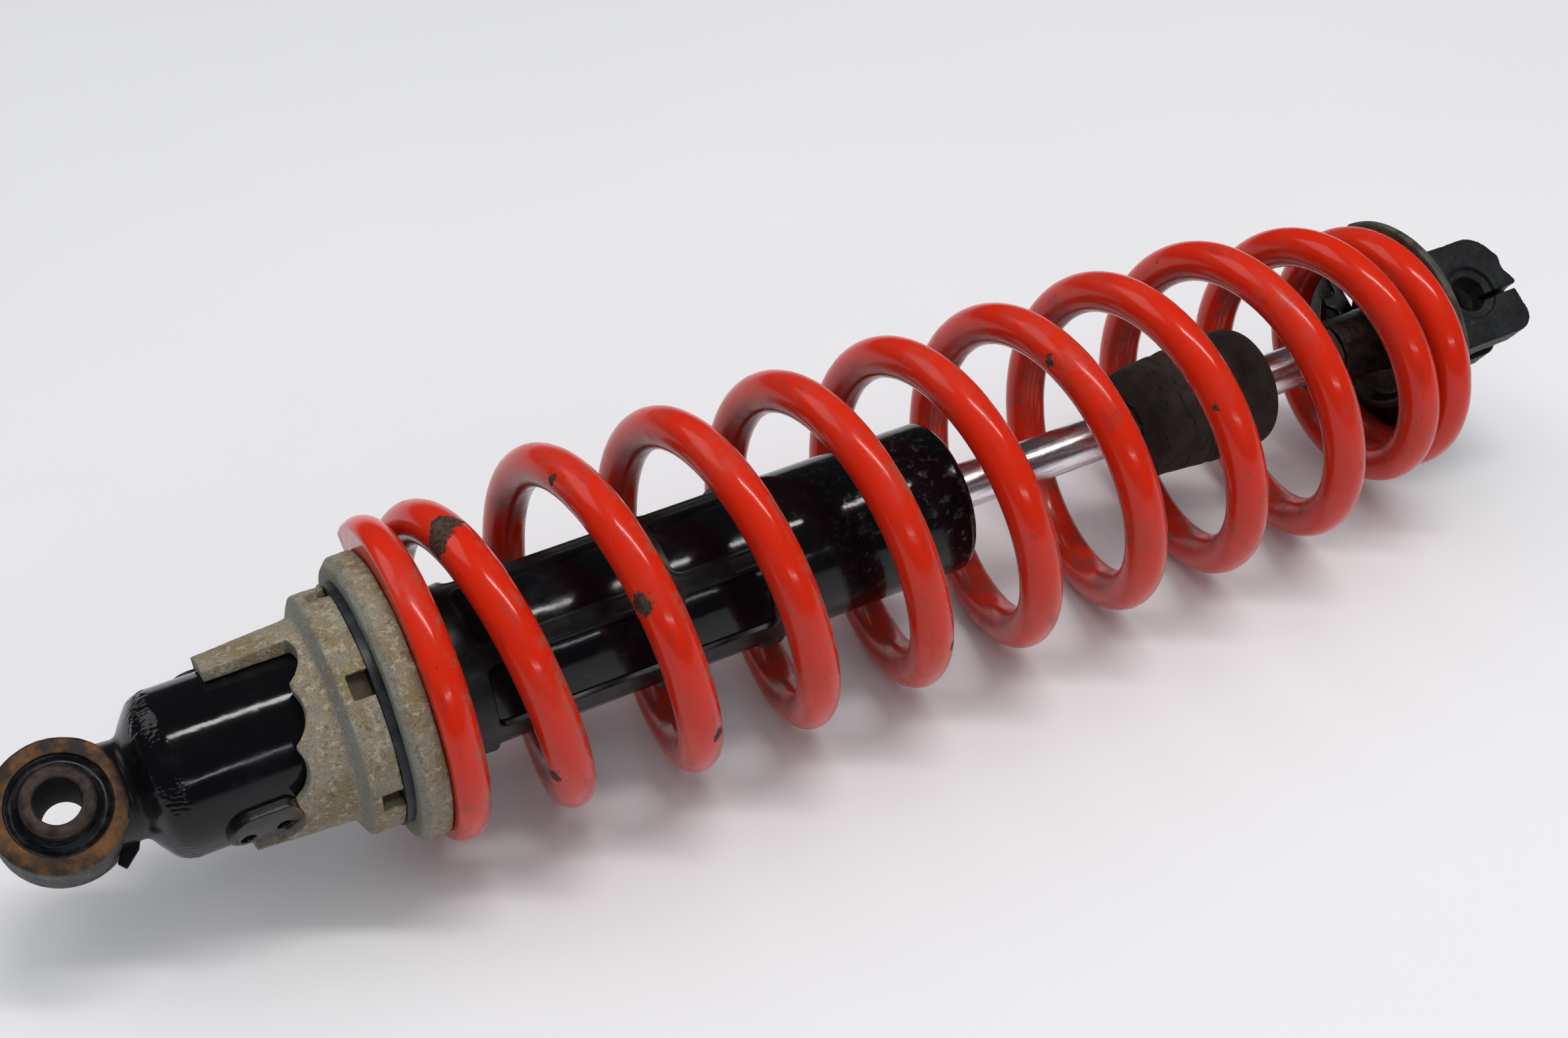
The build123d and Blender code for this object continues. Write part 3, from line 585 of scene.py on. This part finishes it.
def red_powder_coat(straight):
    """The pattern lies along the straightened wire: x along it, y outward, z towards the clevis.
    straight(turn, angle) gives the pattern coordinates of a place on the wire."""
    s = Shade("red_powder_coat", "wire_place")
    edge = s.noise(1.6, 6.0, 0.7)
    broad = s.noise(26.0, 5.0, 0.6)
    fine = s.noise(1.1, 6.0, 0.68)
    patchy = s.noise(4.5, 7.0, 0.72)
    chips = s.most([s.near(straight(turn, angle), size, 6.0, s.math("SUBTRACT", edge, 0.5))
                    for turn, angle, size in CHIPS])
    specks = s.step(s.noise(2.1, 4.0, 0.6), 0.715, 0.74)
    bare = s.math("MAXIMUM", chips, specks)
    dull = s.math("MULTIPLY", s.step(broad, 0.44, 0.62), s.step(patchy, 0.38, 0.58))
    clevis_side = s.step(s.axis(2), 0.0010, 0.0044)
    inner_side = s.step(s.axis(1), 0.0005, -0.0040)
    dust = s.math("MULTIPLY", clevis_side, s.step(patchy, 0.46, 0.6))
    # The wire's inner side, towards the damper, is darkened with brown patches
    patches = s.math("MULTIPLY", inner_side, s.step(s.noise(9.0, 6.0, 0.7), 0.42, 0.6))
    scuff = s.step(s.noise(1.5, 6.0, 0.65, s.stretched(0.25, 1.0, 1.0)), 0.60, 0.70)
    smudge = s.step(s.noise(4.5, 6.0, 0.7, s.stretched(0.4, 1.0, 1.0)), 0.56, 0.68)
    colour = s.mix(broad, (0.56, 0.014, 0.003), (0.66, 0.026, 0.006))
    colour = s.mix(s.math("MULTIPLY", dull, 0.35), colour, (0.36, 0.05, 0.035))
    colour = s.mix(s.math("MULTIPLY", dust, 0.6), colour, (0.20, 0.115, 0.08))
    colour = s.mix(s.math("MULTIPLY", patches, 0.6), colour, (0.13, 0.045, 0.032))
    colour = s.mix(s.math("MULTIPLY", smudge, 0.5), colour, (0.25, 0.018, 0.010))
    colour = s.mix(s.math("MULTIPLY", scuff, 0.45), colour, (0.14, 0.035, 0.025))
    rust = s.mix(s.step(fine, 0.35, 0.65), (0.024, 0.016, 0.011), (0.075, 0.048, 0.03))
    s.set(Base_Color=s.mix(bare, colour, rust), Specular_IOR_Level=0.28)
    soiled = s.most([dull, dust, patches, smudge])
    shine = s.math("ADD", s.math("MULTIPLY", soiled, 0.16), s.math("MULTIPLY", scuff, 0.15))
    shine = s.math("ADD", s.math("ADD", shine, 0.16), s.math("MULTIPLY", bare, 0.5))
    s.set(Roughness=shine, Coat_Roughness=0.08)
    s.set(Coat_Weight=s.math("MULTIPLY", s.math("SUBTRACT", 1.0, bare), 0.14))
    depth = s.math("MULTIPLY", bare, -1.0)
    ripple = s.bump(s.noise(3.0, 3.0, 0.5), 0.07, 0.5)
    s.set(Normal=s.bump(depth, 0.18, 0.8, ripple))
    return s.material


# ---------------------------------------------------------------- pieces

def make_spring():
    """Wire swept along the coil, with both ends ground flat against their seats."""
    steps_per_turn = 112
    around = 40
    count = round((COIL_TURNS[1] - COIL_TURNS[0]) * steps_per_turn) + 1
    turns = np.linspace(COIL_TURNS[0], COIL_TURNS[1], count)
    centre = coil_at(turns)
    step = 1e-3
    tangent = coil_at(turns + step) - coil_at(turns - step)
    tangent /= np.linalg.norm(tangent, axis=1)[:, None]
    angle = 2 * pi * turns + radians(COIL_FRONT_ANGLE)
    outward = np.stack([0 * angle, np.cos(angle), np.sin(angle)], axis=-1)
    outward -= tangent * np.sum(outward * tangent, axis=1)[:, None]
    outward /= np.linalg.norm(outward, axis=1)[:, None]
    sideways = np.cross(outward, tangent)
    sideways *= np.sign(sideways[:, :1])
    length = np.concatenate([[0], np.cumsum(np.linalg.norm(np.diff(centre, axis=0), axis=1))])
    phi = 2 * pi * np.arange(around) / around
    ring = outward[:, None] * np.cos(phi)[None, :, None] + sideways[:, None] * np.sin(phi)[None, :, None]
    points = (centre[:, None] + ring * WIRE_R).reshape(-1, 3)
    straight = np.stack([np.broadcast_to(length[:, None], (count, around)),
                         np.broadcast_to(WIRE_R * np.cos(phi), (count, around)),
                         np.broadcast_to(WIRE_R * np.sin(phi), (count, around))], axis=-1).reshape(-1, 3)
    bulge = 0.6
    ends = np.stack([centre[0] - tangent[0] * bulge, centre[-1] + tangent[-1] * bulge])
    points = np.concatenate([points, ends])
    straight = np.concatenate([straight, [[-bulge, 0, 0], [length[-1] + bulge, 0, 0]]])
    points[:, 0] = np.clip(points[:, 0], SEAT_FACE, RETAINER_FACE)
    faces = grid_faces(count, around)
    last = (count - 1) * around
    first_tip = count * around
    for j in range(around):
        beside = (j + 1) % around
        faces.append((beside, j, first_tip))
        faces.append((last + j, last + beside, first_tip + 1))
    spring = new_piece("red_coil_spring", points, faces, "coil_spring", 60.0)
    place = spring.data.attributes.new("wire_place", "FLOAT_VECTOR", "POINT")
    place.data.foreach_set("vector", (straight * MM).astype(np.float32).ravel())

    def at(turn, degrees):
        along = float(np.interp(turn, turns, length))
        return along * MM, WIRE_R * cos(radians(degrees)) * MM, WIRE_R * sin(radians(degrees)) * MM

    spring.data.materials.append(red_powder_coat(at))
    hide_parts("coil_spring")
    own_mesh(spring)


def make_end_cap(material):
    """Neck and rolled shoulder, with a ring of hammered weld ripples."""
    corners = [(NECK_START, 0.0), (NECK_START, NECK_R, 0.3), (15.6, NECK_R - 0.6, 2.6), (18.0, 15.6, 2.2),
               (20.6, 18.9, 2.5), (24.5, TUBE_R, 2.0), (CAP_EDGE, TUBE_R), (CAP_EDGE, CAP_PLUG_R),
               (CAP_PLUG_END, CAP_PLUG_R, 0.3), (CAP_PLUG_END, 0.0)]
    least_radius = 0.02          # keeps the points of a row apart at the axis
    outline = [(x, max(r, least_radius)) for x, r in divided(rounded(corners), 0.6)]
    start, end = CAP_RIPPLES

    def relief(x, r, angle):
        if r < 9.0 or x > end:
            return 0.0
        band = float(ease((x - start) / 2.0) * ease((end - x) / 2.5))
        point = (x, r * cos(angle), r * sin(angle))
        wave = sin(angle * CAP_RIPPLE_COUNT + 5.0 * rough(point, 6.0, 2.0) - x * 1.3)
        patch = 0.15 + max(0.0, rough(point, 7.0, 4.0) + 0.15)
        weld = float(ease((17.0 - x) / 2.0)) * 0.12 * rough(point, 4.5, 5.0)
        return band * patch * (0.05 * wave + 0.30 * rough(point, 0.9, 9.0)) + weld

    cap = lathe("end_cap_and_neck", outline, "damper_end_cap", 720, relief)
    for vertex in cap.data.vertices:
        x, y, z = (value / MM for value in vertex.co)
        across = y * sin(radians(PIN_ANGLE)) - z * cos(radians(PIN_ANGLE))
        if x < NECK_SADDLE_END and abs(across) < EYE_RING_R:
            saddle = sqrt(EYE_RING_R ** 2 - across ** 2) - 0.8
            share = (x - NECK_START) / (NECK_SADDLE_END - NECK_START)
            vertex.co.x = (saddle + share * (NECK_SADDLE_END - saddle)) * MM
    cap.data.materials.append(material)
    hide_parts("damper_end_cap")


def plain_ring(half_length, inner, outer):
    """Outline of a ring about the eye bolt, from (radius, edge rounding) pairs."""
    corners = [(-half_length, *inner), (-half_length, *outer), (half_length, *outer), (half_length, *inner)]
    return divided(rounded(corners), 0.6)


def pin_lathe(name, outline, node, segments, relief, material):
    """Closed outline of (place along the bolt, radius) turned about the eye bolt."""
    points = []
    for along, r in outline:
        for j in range(segments):
            angle = 2 * pi * j / segments
            lift = relief((along, r * cos(angle), r * sin(angle)), r)
            points.append(along_pin((r + lift) * cos(angle), (r + lift) * sin(angle), along))
    piece = new_piece(name, points, grid_faces(len(outline), segments, wrap_rows=True), node)
    piece.data.materials.append(material)
    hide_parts(node)


def make_eye(materials):
    """Rusty ring, the steel sleeve with its rounded rim, and dished rubber."""
    def ring_skin(point, r):
        return (0.10 * rough(point, 6.0, 1.0) + 0.06 * rough(point, 1.4, 2.0)) * (r > 12.5)

    def sleeve_skin(point, r):
        return (0.05 * rough(point, 3.0, 4.0) + 0.03 * rough(point, 1.1, 5.0)) * (5.5 < r < 8.1)

    def rubber_skin(point, r):
        return 0.18 * rough(point, 3.2, 6.0) * (8.5 < r < 11.2)

    ring = plain_ring(EYE_HALF_LENGTH, (EYE_RING_BORE_R, 0.4), (EYE_RING_R, 1.3))
    pin_lathe("eye_ring_steel", ring, "eye_ring", 240, ring_skin, materials["eye_steel"])
    sleeve = plain_ring(EYE_SLEEVE_HALF_LENGTH, (EYE_SLEEVE_BORE_R, 0.8), (EYE_SLEEVE_R, 1.7))
    pin_lathe("eye_sleeve_steel", sleeve, "eye_inner_sleeve", 160, sleeve_skin, materials["sleeve_steel"])
    face = [(9.6, 8.26), (8.6, 8.9, 0.5), (7.9, 10.0, 0.8), (8.7, 11.5, 0.3)]
    rubber = divided(rounded([(-along, *rest) for along, *rest in face] + face[::-1]), 0.5)
    pin_lathe("eye_rubber", rubber, "eye_rubber_bush", 200, rubber_skin, materials["bush_rubber"])


def make_cap_tab(material):
    """Small sheet tab under the neck, with a sharp end."""
    outline = [(7.4, 15.0), (9.0, 16.8), (12.8, 13.6), (14.6, 9.6), (10.5, 10.4)]
    angle = radians(TAB_ANGLE)
    points = []
    for side in (-TAB_HALF_WIDTH, TAB_HALF_WIDTH):
        for x, r in outline:
            points.append((x, r * cos(angle) - side * sin(angle), r * sin(angle) + side * cos(angle)))
    count = len(outline)
    faces = [tuple(range(count)), tuple(range(2 * count - 1, count - 1, -1))]
    faces += [(i, (i + 1) % count, (i + 1) % count + count, i + count) for i in range(count)]
    tab = new_piece("neck_tab", points, faces, "damper_end_cap")
    tab.data.materials.append(material)
    bevel = tab.modifiers.new("edges", "BEVEL")
    bevel.width = 0.35 * MM
    bevel.segments = 2
    bevel.limit_method = "ANGLE"
    bevel.angle_limit = radians(35)


def make_lug(name, turn, material):
    """Stamped lug: raised rim, sunk floor with two holes, and a longer worn nose towards the cam."""
    length_count, width_count = 150, 130
    margin = 0.6
    half_width = LUG_HALF_WIDTH
    xs = np.linspace(LUG_START - margin, LUG_END + margin, length_count)
    ss = np.linspace(-half_width - margin, half_width + margin, width_count)
    points = []
    heights = np.zeros((length_count, width_count))
    for i, x in enumerate(xs):
        for j, s in enumerate(ss):
            near_end = max(LUG_START + half_width - x, 0.0)
            nose = max(x - (LUG_END - LUG_NOSE), 0.0) * half_width / LUG_NOSE * 0.8
            inside = half_width - hypot(s, near_end, nose)
            rim = float(ease(inside / 0.9)) * (2.5 - 0.9 * float(ease((s + 1.0) / 5.0)))
            floor = float(ease((inside - 1.5) / 0.7)) * (0.9 - 0.7 * float(ease((s + 1.0) / 4.0)))
            hole = max(float(ease((LUG_HOLE_R - hypot(x - place, s - shift)) / 0.3))
                       for place, shift in LUG_HOLES)
            height = (rim - floor) * (1 - 1.3 * hole) - 0.4 * (1 - float(ease(inside / 0.5)))
            height += 0.05 * rough((x, s, turn), 2.4, 3.0) * float(ease(inside / 0.8))
            heights[i, j] = height
            r = TUBE_R - 0.15 + height
            angle = radians(LUG_ANGLE + turn) + s / TUBE_R
            points.append((x, r * cos(angle), r * sin(angle)))
    faces = [f for f in grid_faces(length_count, width_count, wrap_columns=False)
             if max(heights[v // width_count, v % width_count] for v in f) > 0.02]
    lug = new_piece(name, points, faces, "cam_stop_lugs", 50.0)
    lug.data.materials.append(material)
    return lug


def make_guide_sleeve(material):
    """Thin moulded sleeve whose windows have a raised frame."""
    inner = SLEEVE_BORE_R
    x_count, angle_count = 330, 480
    xs = np.linspace(SLEEVE_START, SLEEVE_END, x_count)
    angles = np.linspace(0, 360, angle_count, endpoint=False)
    half_row = 180.0 / SLEEVE_WINDOW_ROWS
    away = (angles - SLEEVE_WINDOW_ANGLE + half_row) % (2 * half_row) - half_row
    side = np.abs(away) * pi / 180 * SLEEVE_R
    half = SLEEVE_WINDOW_ARC / 2 * pi / 180 * SLEEVE_R
    corner = SLEEVE_WINDOW_CORNER
    distance = np.full((x_count, angle_count), -99.0)        # how deep a point lies in a window
    for low, high in SLEEVE_WINDOWS:
        middle, reach = (low + high) / 2, (high - low) / 2
        dx = np.abs(xs - middle)[:, None] - (reach - corner)
        da = side[None, :] - (half - corner)
        outside = np.hypot(np.maximum(dx, 0), np.maximum(da, 0)) + np.minimum(np.maximum(dx, da), 0) - corner
        distance = np.maximum(distance, -outside)
    wall = SLEEVE_R - 0.12
    radius = wall + 0.10 * ease((distance + 1.4) / 0.4) * (1 - ease((distance + 0.25) / 0.3))
    radius = radius - (wall - inner + 0.35) * ease((distance + 0.12) / 0.35)
    rim = ease((SLEEVE_END - xs) / 0.5)[:, None] * ease((xs - SLEEVE_START) / 0.5)[:, None]
    radius = (inner - 0.2) + (radius - inner + 0.2) * rim
    grid_angle = np.radians(np.broadcast_to(angles, radius.shape))
    points = np.stack([np.broadcast_to(xs[:, None], radius.shape), radius * np.cos(grid_angle),
                       radius * np.sin(grid_angle)], axis=-1).reshape(-1, 3)
    flat = radius.ravel()
    faces = [f for f in grid_faces(x_count, angle_count) if max(flat[v] for v in f) > inner - 0.1]
    sleeve = new_piece("guide_sleeve_with_windows", points, faces, "spring_guide_sleeve", 45.0)
    sleeve.data.materials.append(material)
    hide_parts("spring_guide_sleeve")


def make_bump_stop(material):
    """Foam rubber stop, creased where it has been squeezed near the damper."""
    corners = [(BUMP_START, BUMP_BORE_R, 0.3), (BUMP_START, 15.0, 2.2), (303.8, 16.3, 0.8),
               (305.4, 15.4, 0.8), (307.0, BUMP_R, 1.0), (BUMP_END, BUMP_R, 5.5),
               (BUMP_END, BUMP_BORE_R, 0.6)]
    outline = divided(rounded(corners, 10), 0.5)

    def relief(x, r, angle):
        if r < 12.0:
            return 0.0
        point = (x, r * cos(angle), r * sin(angle))
        squeezed = float(ease((BUMP_CREASED_END - x) / 2.0))
        stretched = (x * 2.2, point[1] * 0.45, point[2] * 0.45)
        crease = -0.55 * max(0.0, 1 - abs(rough(stretched, 6.0, 6.0)) * 9.0)
        return squeezed * (crease + 0.35 * rough(point, 5.0, 2.0)) + 0.12 * rough(point, 9.0, 1.0)

    stop = lathe("bump_stop_rubber", outline, "bump_stop", 224, relief)
    stop.data.materials.append(material)
    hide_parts("bump_stop")


# ---------------------------------------------------------------- the object

MATERIALS = {
    "eye_steel": rusty_eye(),
    "bush_rubber": bush_rubber(),
    "sleeve_steel": sleeve_steel(),
    "black_gloss_paint": gloss_black(),
    "lug_steel": lug_steel(),
    "cast_alloy": cast_alloy(),
    "slip_plastic": satin_plastic("slip_plastic", (0.012, 0.015, 0.02), 0.32, (0.03, 0.036, 0.045), 0.45),
    "guide_plastic": satin_plastic("guide_plastic", (0.004, 0.004, 0.0045), 0.3, (0.012, 0.0125, 0.014),
                                   0.52),
    "chromed_steel": chrome(),
    "bump_rubber": bump_rubber(),
    "seal_rubber": satin_plastic("seal_rubber", (0.01, 0.01, 0.01), 0.45, (0.03, 0.03, 0.03), 0.55),
    "bare_steel": turned_metal("bare_steel", (0.45, 0.45, 0.46), 1.0, 0.28, (0.14, 0.11, 0.09)),
    "machined_alloy": turned_metal("machined_alloy", (0.70, 0.70, 0.71), 1.0, 0.3, (0.4, 0.38, 0.35)),
    "bearing_bronze": turned_metal("bearing_bronze", (0.50, 0.33, 0.14), 1.0, 0.35, (0.22, 0.13, 0.06)),
    "dark_zinc_steel": turned_metal("dark_zinc_steel", (0.035, 0.03, 0.027), 0.5, 0.35,
                                    (0.075, 0.045, 0.026)),
    "forged_black_steel": forged_black(),
    "retainer_steel": retainer_steel(),
}

for node, piece in frame["nodes"].items():
    if SLOT_OF[node] in MATERIALS:
        piece.data.materials.clear()
        piece.data.materials.append(MATERIALS[SLOT_OF[node]])

make_spring()
make_end_cap(MATERIALS["black_gloss_paint"])
make_cap_tab(MATERIALS["black_gloss_paint"])
make_eye(MATERIALS)
for number, turn in enumerate((0.0, 180.0)):
    piece = make_lug(f"cam_stop_lug_{number + 1}", turn, MATERIALS["lug_steel"])
    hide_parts("cam_stop_lugs")
make_guide_sleeve(MATERIALS["guide_plastic"])
make_bump_stop(MATERIALS["bump_rubber"])

for name, node, grain, lumps in WEATHERED:
    piece = weathered(name, node, grain, lumps)
    piece.data.materials.append(MATERIALS[SLOT_OF[node]])


# ---------------------------------------------------------------- floor, light and camera

def make_floor():
    half = 4.0
    mesh = bpy.data.meshes.new("floor")
    corners = [(x, y, FLOOR_Z * MM) for x, y in ((-half, -half), (half, -half), (half, half), (-half, half))]
    mesh.from_pydata(corners, [], [(0, 1, 2, 3)])
    floor = bpy.data.objects.new("floor", mesh)
    bpy.context.scene.collection.objects.link(floor)
    s = Shade("floor_paper")
    broad = s.noise(260.0, 3.0, 0.5)
    s.set(Base_Color=s.mix(broad, (0.765, 0.772, 0.80), (0.82, 0.825, 0.845)), Roughness=0.5)
    s.set(Specular_IOR_Level=0.25)
    s.set(Normal=s.bump(s.noise(3.0, 3.0, 0.5), 0.03, 0.3))
    mesh.materials.append(s.material)


def make_light(name, place, size, power, colour):
    """Rectangular lamp that faces the object; size in metres, power in watts."""
    data = bpy.data.lights.new(name, "AREA")
    data.shape = "RECTANGLE"
    data.size, data.size_y = size
    data.energy = power
    data.color = colour
    lamp = bpy.data.objects.new(name, data)
    lamp.location = place
    lamp.rotation_euler = (Vector(LIGHT_AIM) - Vector(place)).to_track_quat("-Z", "Y").to_euler()
    bpy.context.scene.collection.objects.link(lamp)
    return lamp


def make_world():
    """Pale room. Mirror-like surfaces see it darker, as a room that is dim between its lamps."""
    world = bpy.data.worlds.new("studio")
    world.use_nodes = True
    nodes = world.node_tree.nodes
    links = world.node_tree.links
    background = nodes["Background"]
    background.inputs["Color"].default_value = (0.93, 0.95, 1.0, 1.0)
    rays = nodes.new("ShaderNodeLightPath")
    strength = nodes.new("ShaderNodeMapRange")
    strength.inputs["To Min"].default_value = 0.27
    strength.inputs["To Max"].default_value = 0.05
    links.new(rays.outputs["Is Glossy Ray"], strength.inputs["Value"])
    links.new(strength.outputs["Result"], background.inputs["Strength"])
    bpy.context.scene.world = world


def make_camera():
    data = bpy.data.cameras.new("camera")
    data.lens = CAMERA_LENS
    data.sensor_width = 36.0
    data.clip_start = 0.01
    data.clip_end = 20.0
    camera = bpy.data.objects.new("camera", data)
    camera.location = CAMERA_PLACE
    camera.rotation_euler = [radians(angle) for angle in CAMERA_TURN]
    bpy.context.scene.collection.objects.link(camera)
    bpy.context.scene.camera = camera


make_floor()
make_world()
ceiling = make_light("ceiling_strip", (0.78, -0.32, 2.0), (1.6, 0.16), 17.0, (1.0, 0.98, 0.95))
ceiling.rotation_euler = (0.0, 0.0, radians(CEILING_TURN))       # faces straight down
make_light("back_softbox", (-0.9, 1.3, 1.7), (1.6, 1.2), 9.5, (0.97, 0.98, 1.0))
overhead = make_light("overhead_diffuser", (0.2, -0.2, 1.2), (1.4, 1.4), 8.6, (1.0, 0.99, 0.97))
overhead.visible_glossy = False
make_light("front_window", (0.35, -2.2, 1.15), (1.4, 0.08), 4.0, (0.92, 0.95, 1.0))
make_camera()
bpy.context.scene.view_settings.view_transform = "Standard"
